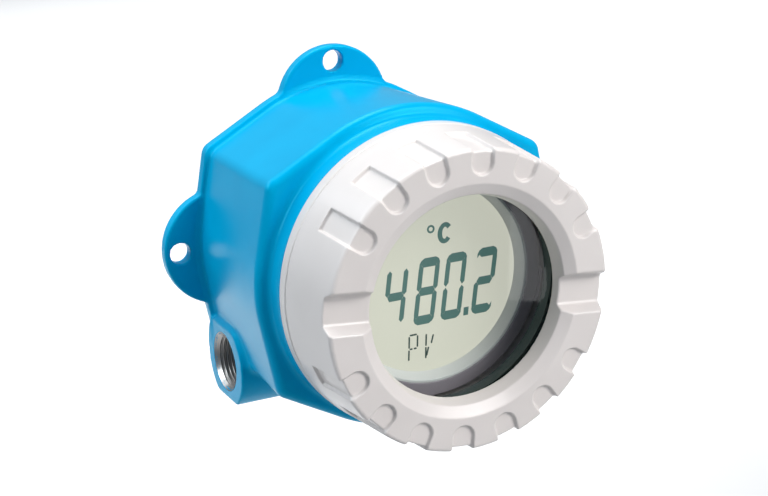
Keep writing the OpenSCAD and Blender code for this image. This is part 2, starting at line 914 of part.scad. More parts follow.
housing();
cover();
window_gasket();
window_glass();
retaining_ring();
cover_seal();
display_frame();
display_tabs();
lcd_glass();
lcd_reflector();
zebra_strips();
display_board();
display_chips();
display_back();
display_plug();
display_socket();
module_case();
potting_block();
main_board();
board_components();
module_lid();
module_screws();
sensor_terminal_block();
supply_terminal_block();
terminal_contacts();
terminal_clamp(0);  // terminal_clamp_1
terminal_clamp(1);  // terminal_clamp_2
terminal_clamp(2);  // terminal_clamp_3
terminal_clamp(3);  // terminal_clamp_4
terminal_clamp(4);  // terminal_clamp_5
terminal_clamp(5);  // terminal_clamp_6
terminal_screw(0);  // terminal_screw_1
terminal_screw(1);  // terminal_screw_2
terminal_screw(2);  // terminal_screw_3
terminal_screw(3);  // terminal_screw_4
terminal_screw(4);  // terminal_screw_5
terminal_screw(5);  // terminal_screw_6
dip_switch_body();
dip_slider(-1);  // dip_slider_1
dip_slider(1);  // dip_slider_2
inner_ground_clamp();
inner_ground_screw();
outer_ground_clamp();
outer_ground_screw();
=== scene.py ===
import bpy
import math
import numpy as np
from mathutils import Matrix, Vector


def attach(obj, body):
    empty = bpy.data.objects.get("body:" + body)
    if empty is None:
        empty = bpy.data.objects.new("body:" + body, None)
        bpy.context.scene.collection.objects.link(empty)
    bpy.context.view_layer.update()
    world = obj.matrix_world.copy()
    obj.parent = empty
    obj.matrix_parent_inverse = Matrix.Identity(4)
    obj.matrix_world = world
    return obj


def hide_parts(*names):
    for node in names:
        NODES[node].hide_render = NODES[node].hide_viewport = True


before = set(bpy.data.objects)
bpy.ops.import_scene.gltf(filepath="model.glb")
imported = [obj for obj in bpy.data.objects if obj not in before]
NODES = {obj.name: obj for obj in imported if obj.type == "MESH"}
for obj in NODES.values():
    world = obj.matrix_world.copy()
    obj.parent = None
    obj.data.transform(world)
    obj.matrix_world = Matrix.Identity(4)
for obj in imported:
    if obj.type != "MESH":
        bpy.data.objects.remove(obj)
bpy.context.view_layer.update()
MM = 0.001

# Camera
# Millimetres in the frame's axes. The numbers come from a camera solved on the photograph's circles and edges.
CAM_AT = (-248.90, -562.62, 179.05)
CAM_AZ, CAM_EL, CAM_ROLL = math.radians(-25.62), math.radians(17.13), math.radians(-1.99)
CAM_F_PX, PHOTO_W = 1645.0, 768.0
SENSOR_W = 36.0
CLIP_NEAR, CLIP_FAR = 0.01, 20.0  # metres


def make_camera():
    back = Vector((math.sin(CAM_AZ) * math.cos(CAM_EL), -math.cos(CAM_AZ) * math.cos(CAM_EL), math.sin(CAM_EL)))
    right = Vector((math.cos(CAM_AZ), math.sin(CAM_AZ), 0))
    up = back.cross(right)
    r = right * math.cos(CAM_ROLL) + up * math.sin(CAM_ROLL)
    u = -right * math.sin(CAM_ROLL) + up * math.cos(CAM_ROLL)
    data = bpy.data.cameras.new("camera")
    data.sensor_width = SENSOR_W
    data.sensor_fit = "HORIZONTAL"
    data.lens = CAM_F_PX / PHOTO_W * SENSOR_W
    data.clip_start, data.clip_end = CLIP_NEAR, CLIP_FAR
    cam = bpy.data.objects.new("camera", data)
    cam.matrix_world = Matrix((
        (r.x, u.x, back.x, CAM_AT[0] * MM),
        (r.y, u.y, back.y, CAM_AT[1] * MM),
        (r.z, u.z, back.z, CAM_AT[2] * MM),
        (0, 0, 0, 1)))
    bpy.context.scene.collection.objects.link(cam)
    bpy.context.scene.camera = cam


make_camera()

# Sizes, in millimetres. h is the depth from the wall, r the distance from the cover's axis.
FLANGE_T, FLANGE_R = 5.0, 58.7
BASE_R, FRONT_R, BODY_H = 56.8, 59.3, 66.5
COLLAR_R, COLLAR_TOP = 54.8, 75.2
CORNER_AT, CORNER_HALF = math.radians(36), math.radians(25)
EAR_R, EAR_CENTRE, EAR_HOLE_R, EAR_HOLE_AT = 22.0, 49.0, 4.0, 65.0
ENTRY_FACE, ENTRY_DROP, ENTRY_H = 55.0, 40.5, 17.5
BOSS_R, BOSS_FLAT = 17.3, 14.3
CAVITY_R, FLOOR_T, NECK_BORE_R, SEAL_SEAT_R = 49.0, 7.0, 50.3, 53.0
PILLAR_AT, PILLAR_R, PILLAR_TOP = 36.0, 4.8, 26.5
PILLAR_ANGLES = (90, 205, 335)
RIM_R, COVER_BACK, COVER_FRONT, BAND, FRONT_RING_R = 55.0, 75.5, 110.6, 4.7, 52.5
COVER_ANGLE = math.radians(-5.5)
WINDOW_R, LIP_BACK = 35.3, 102.7
NECK_R, COVER_BORE_R = 50.0, 46.5

# Housing: rounded edges, then fillets between its parts
BODY_EDGE, FLANGE_EDGE, EAR_EDGE, BOSS_EDGE, BOSS_FACE_EDGE, FINE_EDGE = 3.0, 0.9, 1.0, 0.9, 0.7, 0.4
GROUND_EDGE, INNER_EDGE, POCKET_CORNER, POCKET_FLOOR_EDGE, POCKET_RIM_EDGE = 0.8, 0.5, 2.0, 0.8, 0.5
BORE_EDGE, THREAD_EDGE, CHAMFER_EDGE, HOLE_EDGE, CORNER_BLEND = 0.3, 0.2, 0.25, 0.5, 1.9
EAR_FILLET, PLATE_FILLET, COLLAR_FILLET, BOSS_FILLET, INNER_FILLET = 1.2, 1.6, 2.4, 3.2, 0.8
# Housing: where its parts start inside the body, and its hollow
BODY_BACK, COLLAR_ROOT, BOSS_ROOT, INNER_ROOT = 1.0, 40.0, 20.0, 5.0
CAVITY_TOP, NECK_BACK, SEAL_BACK, OPEN_END = 63.0, 62.0, 71.7, 90.0
RIB_HALF, RIB_REACH, RIB_DROP, PILLAR_HOLE_R, PILLAR_HOLE_FLOOR = 1.5, 50.0, 4.0, 1.65, 15.5
INNER_GROUND_R, INNER_GROUND_TOP, INNER_GROUND_HOLE_R, INNER_GROUND_FLOOR = 5.0, 12.0, 1.8, 6.0
GROUND_H, GROUND_R, GROUND_ROOT, GROUND_FACE, GROUND_HOLE_R, GROUND_FLOOR = 40.0, 6.5, 40.0, 61.0, 2.1, 50.8
# Housing: cored sectors in the back, and the stepped bore of a cable entry
SECTOR, SECTOR_HALF = math.radians(45), math.radians(15.5)
POCKET_IN_R, POCKET_OUT_R, POCKET_DEPTH = 20.0, 43.0, 2.5
ENTRY_BORE_R, ENTRY_BORE_END = 8.6, 18.0
THREAD_BORE_R, THREAD_BORE_END = 10.15, 39.0
CHAMFER_R, CHAMFER_END = 11.3, 50.0

# Cover: section
NECK_LENGTH, THREAD_END, RING_R, RING_FRONT, GLASS_R = 11.0, 88.9, 45.3, 94.0, 43.3
LIP_OUT_R, LIP_IN_R, LIP_DROP = 40.64, 36.6, 2.1
GROOVE_IN, GROOVE_OUT, GROOVE_MID_H, GROOVE_TOP_H = 0.55, 0.2, 0.35, 0.7
# Cover: skin that the flutes follow, flutes and wrench notches
SKIN_IN_R, SKIN_BACK = 20.0, 70.0
FLUTE_PITCH, FLUTES_BESIDE_MIDDLE = math.radians(20), 3
FLUTE_END_R, FLUTE_HALF, FLUTE_BACK, FLUTE_DEPTH = 47.4, 4.2, 91.0, 1.3
FLUTE_WALL_SLOPE, FLUTE_WALL_SCALE, FLUTE_BACK_SLOPE, FLUTE_CORNER, FLUTE_EDGE = 0.42, 0.92, 0.25, 0.25, 0.3
NOTCH_DEPTH, NOTCH_HALF, NOTCH_SLOPE, NOTCH_SCALE, NOTCH_CORNER, NOTCH_EDGE = 4.6, 4.7, 0.53, 0.88, 0.9, 0.5

HOUSING_GRID = ((-72.6, -77.0, -72.6), (72.6, 1.6, 72.6), 0.8, 1.4)
COVER_GRID = ((-56.0, -111.6, -56.0), (56.0, -63.5, 56.0), 0.5, 0.9)
SLICE = 16  # layers of a grid that are worked out at once


# Distance fields
def smax(a, b, k):
    """Intersection of two solids with a soft edge of width k."""
    h = np.maximum(k - np.abs(a - b), 0)
    return np.maximum(a, b) + h * h / (4 * k)


def rmax(a, b, r):
    """Intersection of two solids with its edge rounded to radius r."""
    return np.minimum(np.maximum(a, b), -r) + np.hypot(np.maximum(a + r, 0), np.maximum(b + r, 0))


def rmin(a, b, r):
    """Union of two solids with a fillet of radius r."""
    return np.maximum(np.minimum(a, b), r) - np.hypot(np.maximum(r - a, 0), np.maximum(r - b, 0))


def slab(h, low, high):
    """The space between two parallel planes."""
    return np.maximum(low - h, h - high)


def outline(x, z, radius):
    """Housing outline: round sides and four corners whose straight sides touch them."""
    ax, az = np.abs(x), np.abs(z)
    angle = np.arctan2(az, ax)
    a, b = CORNER_AT - CORNER_HALF, CORNER_AT + CORNER_HALF
    side_a = ax * math.cos(a) + az * math.sin(a) - radius
    side_b = ax * math.cos(b) + az * math.sin(b) - radius
    corner = smax(side_a, side_b, CORNER_BLEND)
    return np.where((angle > a) & (angle < b), corner, np.hypot(ax, az) - radius)


def surface_nets(sdf, low, high, step):
    """Closed quad mesh of the surface sdf = 0. Each vertex is then moved on to the surface."""
    axes = [np.arange(lo, hi + step, step) for lo, hi in zip(low, high)]
    nx, ny, nz = map(len, axes)
    values = np.empty((nx, ny, nz), np.float32)
    gy, gz = np.meshgrid(axes[1], axes[2], indexing="ij")
    for i0 in range(0, nx, SLICE):
        xs = axes[0][i0:i0 + SLICE]
        block = (len(xs), ny, nz)
        values[i0:i0 + len(xs)] = sdf(np.broadcast_to(xs[:, None, None], block),
                                      np.broadcast_to(gy, block), np.broadcast_to(gz, block))
    inside = values < 0
    shape = (nx - 1, ny - 1, nz - 1)
    strides = np.array([shape[1] * shape[2], shape[2], 1])
    quads, sums = [], []
    for axis in range(3):
        lo = [slice(None)] * 3
        hi = [slice(None)] * 3
        lo[axis], hi[axis] = slice(0, -1), slice(1, None)
        a, b = inside[tuple(lo)], inside[tuple(hi)]
        idx = np.argwhere(a != b)
        o1, o2 = (axis + 1) % 3, (axis + 2) % 3
        ok = (idx[:, o1] > 0) & (idx[:, o2] > 0) & (idx[:, o1] < shape[o1]) & (idx[:, o2] < shape[o2])
        idx = idx[ok]
        v0 = values[tuple(idx.T)]
        far = idx.copy()
        far[:, axis] += 1
        v1 = values[tuple(far.T)]
        t = v0 / (v0 - v1)
        point = idx.astype(np.float64)
        point[:, axis] += t
        out = v0 < 0
        cells = []
        for d1, d2 in ((0, 0), (1, 0), (1, 1), (0, 1)):
            c = idx.copy()
            c[:, o1] -= d1
            c[:, o2] -= d2
            cell = c @ strides
            cells.append(cell)
            sums.append((cell, point))
        q = np.stack(cells, 1)
        q[out] = q[out][:, ::-1]
        quads.append(q)
    quads = np.concatenate(quads)
    cell_ids = np.concatenate([c for c, _ in sums])
    points = np.concatenate([p for _, p in sums])
    used, inverse = np.unique(cell_ids, return_inverse=True)
    count = np.bincount(inverse)
    verts = np.stack([np.bincount(inverse, points[:, k]) / count for k in range(3)], 1)
    verts = verts * step + np.array(low)
    order = np.searchsorted(used, quads)
    for _ in range(3):
        d, g = field_gradient(sdf, verts)
        move = d[:, None] * g
        size = np.linalg.norm(move, axis=1, keepdims=True)
        verts -= move * np.minimum(1, 0.5 * step / np.maximum(size, 1e-9))
    _, normals = field_gradient(sdf, verts)
    return verts, order[:, ::-1], normals


def field_gradient(sdf, p, eps=0.02):
    """Distance and unit normal of the field at points p, in millimetres."""
    x, y, z = p[:, 0], p[:, 1], p[:, 2]
    d = sdf(x, y, z)
    g = np.stack([
        sdf(x + eps, y, z) - sdf(x - eps, y, z),
        sdf(x, y + eps, z) - sdf(x, y - eps, z),
        sdf(x, y, z + eps) - sdf(x, y, z - eps)], 1) / (2 * eps)
    n = np.linalg.norm(g, axis=1, keepdims=True)
    return d / np.maximum(n[:, 0], 0.3), g / np.maximum(n, 1e-6)


def mesh_from_arrays(name, verts, faces, normals=None):
    """Mesh piece from arrays in millimetres."""
    mesh = bpy.data.meshes.new(name)
    verts = np.asarray(verts, np.float64) * MM
    faces = np.asarray(faces)
    mesh.vertices.add(len(verts))
    mesh.vertices.foreach_set("co", verts.ravel())
    n = faces.shape[1]
    mesh.loops.add(faces.size)
    mesh.loops.foreach_set("vertex_index", faces.ravel().astype(np.int32))
    mesh.polygons.add(len(faces))
    mesh.polygons.foreach_set("loop_start", np.arange(0, faces.size, n, dtype=np.int32))
    mesh.update(calc_edges=True)
    mesh.validate()
    mesh.polygons.foreach_set("use_smooth", np.ones(len(mesh.polygons), bool))
    if normals is not None:
        mesh.normals_split_custom_set_from_vertices([tuple(v) for v in normals])
    ob = bpy.data.objects.new(name, mesh)
    bpy.context.scene.collection.objects.link(ob)
    return ob


# Housing
def housing_shell(x, z, h):
    """Body, flange, ears, collar, entry bosses and the outer ground boss, all solid."""
    ax, az = np.abs(x), np.abs(z)
    rise = np.clip((h - FLANGE_T) / (BODY_H - BODY_EDGE - FLANGE_T), 0, 1)
    radius = BASE_R + (FRONT_R - BASE_R) * rise
    body = rmax(outline(x, z, radius), np.maximum(h - BODY_H, BODY_BACK - h), BODY_EDGE)
    flange = rmax(outline(x, z, FLANGE_R), slab(h, 0, FLANGE_T), FLANGE_EDGE)
    # ears: fold on to the nearest of the four
    along, across = np.maximum(ax, az), np.minimum(ax, az)
    ear = rmax(np.hypot(along - EAR_CENTRE, across) - EAR_R, slab(h, 0, FLANGE_T), EAR_EDGE)
    d = rmin(body, rmin(flange, ear, EAR_FILLET), PLATE_FILLET)
    collar = rmax(np.hypot(x, z) - COLLAR_R, slab(h, COLLAR_ROOT, COLLAR_TOP), FINE_EDGE)
    d = rmin(d, collar, COLLAR_FILLET)
    boss = rmax(np.hypot(h - ENTRY_H, z + ENTRY_DROP) - BOSS_R, np.abs(z + ENTRY_DROP) - BOSS_FLAT, BOSS_EDGE)
    boss = np.maximum(rmax(boss, slab(ax, BOSS_ROOT, ENTRY_FACE), BOSS_FACE_EDGE), -h)
    d = rmin(d, boss, BOSS_FILLET)
    ground = rmax(np.hypot(h - GROUND_H, z) - GROUND_R, slab(x, GROUND_ROOT, GROUND_FACE), GROUND_EDGE)
    return rmin(d, ground, PLATE_FILLET)


def hollow_out(d, x, z, h):
    """Take the cavity, the neck and the seal seat out, and put the pillars and the inner ground boss in."""
    rho = np.hypot(x, z)
    hollow = np.maximum(rho - CAVITY_R, slab(h, FLOOR_T, CAVITY_TOP))
    hollow = np.minimum(hollow, np.maximum(rho - NECK_BORE_R, slab(h, NECK_BACK, OPEN_END)))
    hollow = np.minimum(hollow, np.maximum(rho - SEAL_SEAT_R, slab(h, SEAL_BACK, OPEN_END)))
    d = rmax(d, -hollow, FINE_EDGE)
    for a in PILLAR_ANGLES:
        c, s = math.cos(math.radians(a)), math.sin(math.radians(a))
        px, pz = x * c + z * s, -x * s + z * c
        from_axis = np.hypot(px - PILLAR_AT, pz)
        post = rmax(from_axis - PILLAR_R, slab(h, INNER_ROOT, PILLAR_TOP), FINE_EDGE)
        rib = np.maximum(np.abs(pz) - RIB_HALF, slab(px, PILLAR_AT, RIB_REACH))
        rib = np.maximum(rib, slab(h, INNER_ROOT, PILLAR_TOP - RIB_DROP))
        d = rmin(d, np.minimum(post, rib), INNER_FILLET)
        d = np.maximum(d, -np.maximum(from_axis - PILLAR_HOLE_R, PILLAR_HOLE_FLOOR - h))
    from_axis = np.hypot(x, z + ENTRY_DROP)
    inner = rmax(from_axis - INNER_GROUND_R, slab(h, INNER_ROOT, INNER_GROUND_TOP), INNER_EDGE)
    d = rmin(d, inner, INNER_FILLET)
    return np.maximum(d, -np.maximum(from_axis - INNER_GROUND_HOLE_R, INNER_GROUND_FLOOR - h))


def core_back(d, x, z, h):
    """Take the cored sectors out of the back."""
    rho = np.hypot(x, z)
    local = np.arctan2(z, x) % SECTOR - SECTOR / 2
    wedge = rho * np.sin(np.abs(local) - SECTOR_HALF)
    pocket = rmax(wedge, slab(rho, POCKET_IN_R, POCKET_OUT_R), POCKET_CORNER)
    return rmax(d, -rmax(pocket, h - POCKET_DEPTH, POCKET_FLOOR_EDGE), POCKET_RIM_EDGE)


def drill(d, x, z, h):
    """Take out the cable entries' stepped bores, the wall holes and the outer ground screw's hole."""
    ax, az = np.abs(x), np.abs(z)
    bore = np.hypot(h - ENTRY_H, z + ENTRY_DROP)
    d = rmax(d, -np.maximum(bore - ENTRY_BORE_R, ENTRY_BORE_END - ax), BORE_EDGE)
    d = rmax(d, -np.maximum(bore - THREAD_BORE_R, THREAD_BORE_END - ax), THREAD_EDGE)
    d = rmax(d, -np.maximum(bore - CHAMFER_R - (ax - ENTRY_FACE), CHAMFER_END - ax), CHAMFER_EDGE)
    d = rmax(d, -(np.hypot(np.maximum(ax, az) - EAR_HOLE_AT, np.minimum(ax, az)) - EAR_HOLE_R), HOLE_EDGE)
    return np.maximum(d, -np.maximum(np.hypot(h - GROUND_H, z) - GROUND_HOLE_R, GROUND_FLOOR - x))


def housing_field(x, y, z):
    h = -y
    d = hollow_out(housing_shell(x, z, h), x, z, h)
    return drill(core_back(d, x, z, h), x, z, h)


def build_housing(coarse):
    low, high, step, quick_step = HOUSING_GRID
    verts, faces, normals = surface_nets(housing_field, low, high, quick_step if coarse else step)
    verts[:, 1] = np.minimum(verts[:, 1], 0)  # nothing stands behind the wall plane
    return mesh_from_arrays("housing_casting", verts, faces, normals)


# Rounded sections
LARGE_ARC = 0.4


def round_section(corners, share, large_steps, small_steps):
    """Corners (r, h, radius) to a closed section with rounded corners. An arc takes at most that share of
    each side, and has large_steps steps when its radius is over LARGE_ARC."""
    points, n = [], len(corners)
    for i in range(n):
        p = np.array(corners[i][:2], float)
        a = np.array(corners[i - 1][:2], float) - p
        b = np.array(corners[(i + 1) % n][:2], float) - p
        la, lb = np.linalg.norm(a), np.linalg.norm(b)
        a, b = a / la, b / lb
        half = math.acos(float(np.clip(a @ b, -1, 1))) / 2
        cut = min(corners[i][2] / math.tan(half), share * la, share * lb)
        radius = cut * math.tan(half)
        centre = p + (a + b) / np.linalg.norm(a + b) * radius / math.sin(half)
        start, end = p + a * cut, p + b * cut
        steps = large_steps if radius > LARGE_ARC else small_steps
        for k in range(steps + 1):
            v = start + (end - start) * k / steps - centre
            points.append(centre + v / np.linalg.norm(v) * radius)
    return np.array(points)


# Cover
def cover_profile():
    """Closed outline of the cover's section, (radius, h), counter-clockwise, with rounded corners."""
    band_front = COVER_BACK + BAND
    corners = [
        (COVER_BORE_R, COVER_BACK - NECK_LENGTH, 0.3), (NECK_R, COVER_BACK - NECK_LENGTH, 0.6),
        (NECK_R, COVER_BACK, 0.2), (RIM_R, COVER_BACK, 0.5), (RIM_R, band_front, 0.15),
        (RIM_R - GROOVE_IN, band_front + GROOVE_MID_H, 0.2),
        (RIM_R - GROOVE_OUT, band_front + GROOVE_TOP_H, 0.2), (FRONT_RING_R, COVER_FRONT, 1.5),
        (LIP_OUT_R, COVER_FRONT, 1.2), (LIP_IN_R, COVER_FRONT - LIP_DROP, 0.8),
        (WINDOW_R, LIP_BACK, 0.25), (GLASS_R, LIP_BACK, 0.1), (GLASS_R, RING_FRONT, 0.1),
        (RING_R, RING_FRONT, 0.1), (RING_R, THREAD_END, 0.1), (COVER_BORE_R, THREAD_END, 0.1)]
    return round_section(corners, 0.45, 6, 3)


PROFILE = cover_profile()
TABLE_STEP, TABLE_LOW = 0.1, (28.0, 60.0)
TABLE_N = (320, 560)


def polygon_distance(r, h, poly):
    """Signed distance from a closed outline, negative inside it."""
    shape = r.shape
    r, h = r.ravel(), h.ravel()
    best = np.full(r.shape, 1e9)
    inside = np.zeros(r.shape, bool)
    for i in range(len(poly)):
        ax, ay = poly[i - 1]
        bx, by = poly[i]
        ex, ey = bx - ax, by - ay
        wx, wy = r - ax, h - ay
        t = np.clip((wx * ex + wy * ey) / max(ex * ex + ey * ey, 1e-12), 0, 1)
        best = np.minimum(best, (wx - ex * t) ** 2 + (wy - ey * t) ** 2)
        cross = ((ay > h) != (by > h)) & (r < ex * (h - ay) / (ey if abs(ey) > 1e-12 else 1e-12) + ax)
        inside ^= cross
    return (np.sqrt(best) * np.where(inside, -1, 1)).reshape(shape)


def make_table(poly):
    """Distances from an outline on a grid of radius and depth."""
    rr = TABLE_LOW[0] + TABLE_STEP * np.arange(TABLE_N[0])
    hh = TABLE_LOW[1] + TABLE_STEP * np.arange(TABLE_N[1])
    r, h = np.meshgrid(rr, hh, indexing="ij")
    return polygon_distance(r, h, poly)


def look_up(table, r, h):
    u = np.clip((r - TABLE_LOW[0]) / TABLE_STEP, 0, TABLE_N[0] - 1.001)
    v = np.clip((h - TABLE_LOW[1]) / TABLE_STEP, 0, TABLE_N[1] - 1.001)
    i, j = u.astype(np.int32), v.astype(np.int32)
    fu, fv = u - i, v - j
    return (table[i, j] * (1 - fu) * (1 - fv) + table[i + 1, j] * fu * (1 - fv)
            + table[i, j + 1] * (1 - fu) * fv + table[i + 1, j + 1] * fu * fv)


BODY_TABLE = make_table(PROFILE)
SKIN = np.array([
    (SKIN_IN_R, SKIN_BACK), (RIM_R, SKIN_BACK), (RIM_R, COVER_BACK + BAND),
    (FRONT_RING_R + 0.1, COVER_FRONT - 1.6), (FRONT_RING_R - 0.35, COVER_FRONT - 0.45),
    (FRONT_RING_R - 1.5, COVER_FRONT), (SKIN_IN_R, COVER_FRONT)], float)
SKIN_TABLE = make_table(SKIN)


def cover_field(x, y, z):
    h = -y
    rho = np.hypot(x, z)
    d = look_up(BODY_TABLE, rho, h)
    skin = look_up(SKIN_TABLE, rho, h)
    # flutes on both sides of the wrench notches' axis
    angle = np.arctan2(z, x) - COVER_ANGLE
    from_top = angle % math.pi - math.pi / 2
    number = np.clip(np.round(from_top / FLUTE_PITCH), -FLUTES_BESIDE_MIDDLE, FLUTES_BESIDE_MIDDLE)
    off = from_top - number * FLUTE_PITCH
    u, t = rho * np.cos(off), rho * np.sin(off)
    plan = np.where(u > FLUTE_END_R, np.abs(t), np.hypot(u - FLUTE_END_R, t)) - FLUTE_HALF
    depth = -skin
    walls = (plan + FLUTE_WALL_SLOPE * depth) * FLUTE_WALL_SCALE
    flute = rmax(walls, FLUTE_BACK - h + FLUTE_BACK_SLOPE * depth, FLUTE_CORNER)
    d = rmax(d, -rmax(flute, -(skin + FLUTE_DEPTH), FLUTE_EDGE), FLUTE_EDGE)
    # wrench notches
    c, s = math.cos(COVER_ANGLE), math.sin(COVER_ANGLE)
    across = np.abs(-x * s + z * c)
    floor_h = COVER_FRONT - NOTCH_DEPTH
    walls = (across - NOTCH_HALF - NOTCH_SLOPE * (h - floor_h)) * NOTCH_SCALE
    return rmax(d, -rmax(walls, floor_h - h, NOTCH_CORNER), NOTCH_EDGE)


def build_cover(coarse):
    low, high, step, quick_step = COVER_GRID
    verts, faces, normals = surface_nets(cover_field, low, high, quick_step if coarse else step)
    return mesh_from_arrays("cover_casting", verts, faces, normals)


# Materials
def srgb(r, g, b):
    def lin(c):
        c /= 255.0
        return c / 12.92 if c <= 0.04045 else ((c + 0.055) / 1.055) ** 2.4
    return (lin(r), lin(g), lin(b), 1.0)


COLOUR_STOPS = (0.3, 0.7)
PAINT_GRAIN, PLASTIC_GRAIN = 0.00006, 0.00004  # heights of the bumps, in metres
GLASS_IOR, GLASS_ROUGH = 1.45, 0.02


class Shader:
    """Small helper round one material's node tree."""

    def __init__(self, name):
        self.mat = bpy.data.materials.new(name)
        self.mat.use_nodes = True
        self.tree = self.mat.node_tree
        self.bsdf = self.tree.nodes["Principled BSDF"]
        self.coord = self.node("ShaderNodeTexCoord").outputs["Object"]

    def node(self, kind, **inputs):
        n = self.tree.nodes.new(kind)
        for key, value in inputs.items():
            n.inputs[key.replace("_", " ")].default_value = value
        return n

    def link(self, a, b):
        self.tree.links.new(a, b)

    def set(self, **values):
        for key, value in values.items():
            self.bsdf.inputs[key.replace("_", " ")].default_value = value

    def noise(self, scale, detail, rough=0.5):
        n = self.node("ShaderNodeTexNoise", Scale=scale, Detail=detail, Roughness=rough)
        self.link(self.coord, n.inputs["Vector"])
        return n.outputs["Fac"]

    def ramp(self, fac, low, high):
        n = self.node("ShaderNodeMapRange", To_Min=low, To_Max=high)
        self.link(fac, n.inputs["Value"])
        return n.outputs["Result"]

    def colours(self, fac, first, second):
        n = self.node("ShaderNodeValToRGB")
        stops = n.color_ramp.elements
        stops[0].position, stops[1].position = COLOUR_STOPS
        stops[0].color, stops[1].color = first, second
        self.link(fac, n.inputs["Fac"])
        self.link(n.outputs["Color"], self.bsdf.inputs["Base Color"])

    def bump(self, height, strength, distance):
        n = self.node("ShaderNodeBump", Strength=strength, Distance=distance)
        self.link(height, n.inputs["Height"])
        self.link(n.outputs["Normal"], self.bsdf.inputs["Normal"])


def darker(colour, share):
    return tuple(c * share for c in colour[:3]) + (1,)


def painted(name, first, second, rough, coat, peel, specular, tint=(1, 1, 1, 1)):
    s = Shader(name)
    s.colours(s.noise(40, 2), first, second)
    s.link(s.ramp(s.noise(260, 3), rough - 0.03, rough + 0.04), s.bsdf.inputs["Roughness"])
    s.set(Specular_IOR_Level=specular, Specular_Tint=tint, Coat_Weight=coat, Coat_Roughness=0.12)
    s.bump(s.noise(420, 2, 0.45), peel, PAINT_GRAIN)
    return s.mat


def moulded(name, colour, rough, grain=900, metallic=0.0):
    s = Shader(name)
    s.colours(s.noise(70, 3), darker(colour, 0.94), colour)
    s.link(s.ramp(s.noise(grain, 2), rough - 0.05, rough + 0.05), s.bsdf.inputs["Roughness"])
    s.set(Metallic=metallic)
    s.bump(s.noise(grain, 3), 0.15, PLASTIC_GRAIN)
    return s.mat


def glass_material(name, tint):
    """Window glass without refraction: see-through with a Fresnel gloss."""
    mat = bpy.data.materials.new(name)
    mat.use_nodes = True
    t = mat.node_tree
    for n in list(t.nodes):
        t.nodes.remove(n)
    out = t.nodes.new("ShaderNodeOutputMaterial")
    mix = t.nodes.new("ShaderNodeMixShader")
    clear = t.nodes.new("ShaderNodeBsdfTransparent")
    clear.inputs["Color"].default_value = tint
    gloss = t.nodes.new("ShaderNodeBsdfGlossy")
    gloss.inputs["Roughness"].default_value = GLASS_ROUGH
    fresnel = t.nodes.new("ShaderNodeFresnel")
    fresnel.inputs["IOR"].default_value = GLASS_IOR
    facing = t.nodes.new("ShaderNodeNewGeometry")
    outer = t.nodes.new("ShaderNodeMath")
    outer.operation = "SUBTRACT"
    outer.inputs[0].default_value = 1.0
    t.links.new(facing.outputs["Backfacing"], outer.inputs[1])
    share = t.nodes.new("ShaderNodeMath")
    share.operation = "MULTIPLY"
    t.links.new(fresnel.outputs[0], share.inputs[0])
    t.links.new(outer.outputs[0], share.inputs[1])
    t.links.new(share.outputs[0], mix.inputs["Fac"])
    t.links.new(clear.outputs[0], mix.inputs[1])
    t.links.new(gloss.outputs[0], mix.inputs[2])
    t.links.new(mix.outputs[0], out.inputs["Surface"])
    return mat


def painted_light_ground(name, colour, painted_light_colour, painted_light):
    """Reflective LCD ground with painted light: its emission stands in for the light that the recess keeps off
    the glass.
    """
    s = Shader(name)
    s.colours(s.noise(30, 3), darker(colour, 0.97), colour)
    s.set(Roughness=0.45, Emission_Color=painted_light_colour, Emission_Strength=painted_light)
    s.bump(s.noise(1500, 2), 0.03, PLASTIC_GRAIN)
    return s.mat


M = {
    "blue": painted("blue_powder_coat", (0.0, 0.355, 0.64, 1), (0.0, 0.385, 0.68, 1),
                    0.24, 0.02, 0.10, 0.34, (0, 0.9, 1, 1)),
    "pale": painted("pale_powder_coat", (0.71, 0.665, 0.64, 1), (0.75, 0.705, 0.68, 1), 0.3, 0.3, 0.12, 0.35),
    "glass": glass_material("window_glass", (0.97, 0.985, 0.98, 1)),
    "rubber": moulded("black_rubber", (0.012, 0.014, 0.014, 1), 0.6),
    "ring": moulded("black_anodised", (0.004, 0.03, 0.034, 1), 0.32, metallic=0.5),
    "frame": moulded("frame_plastic", srgb(146, 138, 146), 0.35),
    "cone": moulded("cone_plastic", srgb(222, 223, 222), 0.3),
    # The LCD ground and both inks glow: painted light that evens out the shade the cover's lip casts on the
    # display.
    "lcd": painted_light_ground("lcd_ground", srgb(128, 127, 116), srgb(222, 221, 206), 0.74),
    "ink": painted_light_ground("lcd_ink", srgb(52, 76, 72), srgb(84, 122, 116), 0.62),
    "fine_ink": painted_light_ground("lcd_fine_ink", srgb(38, 54, 50), srgb(58, 78, 72), 0.5),
    "white": moulded("white_plastic", srgb(226, 226, 222), 0.5),
    "board": moulded("circuit_board", srgb(18, 84, 52), 0.35),
    "chip": moulded("moulded_black", srgb(28, 28, 30), 0.5),
    "grey": moulded("grey_plastic", srgb(92, 95, 98), 0.5),
    "resin": moulded("casting_resin", srgb(20, 20, 22), 0.15),
    "steel": moulded("plated_steel", (0.62, 0.62, 0.61, 1), 0.28, metallic=1.0),
    "brass": moulded("brass", (0.72, 0.52, 0.22, 1), 0.25, metallic=1.0),
    "green": moulded("green_plastic", srgb(38, 130, 70), 0.45),
    "orange": moulded("orange_plastic", srgb(226, 120, 28), 0.45),
    "red": moulded("red_plastic", srgb(178, 28, 28), 0.4),
    "bare": moulded("bare_aluminium", (0.50, 0.48, 0.46, 1), 0.3, grain=500, metallic=1.0),
}

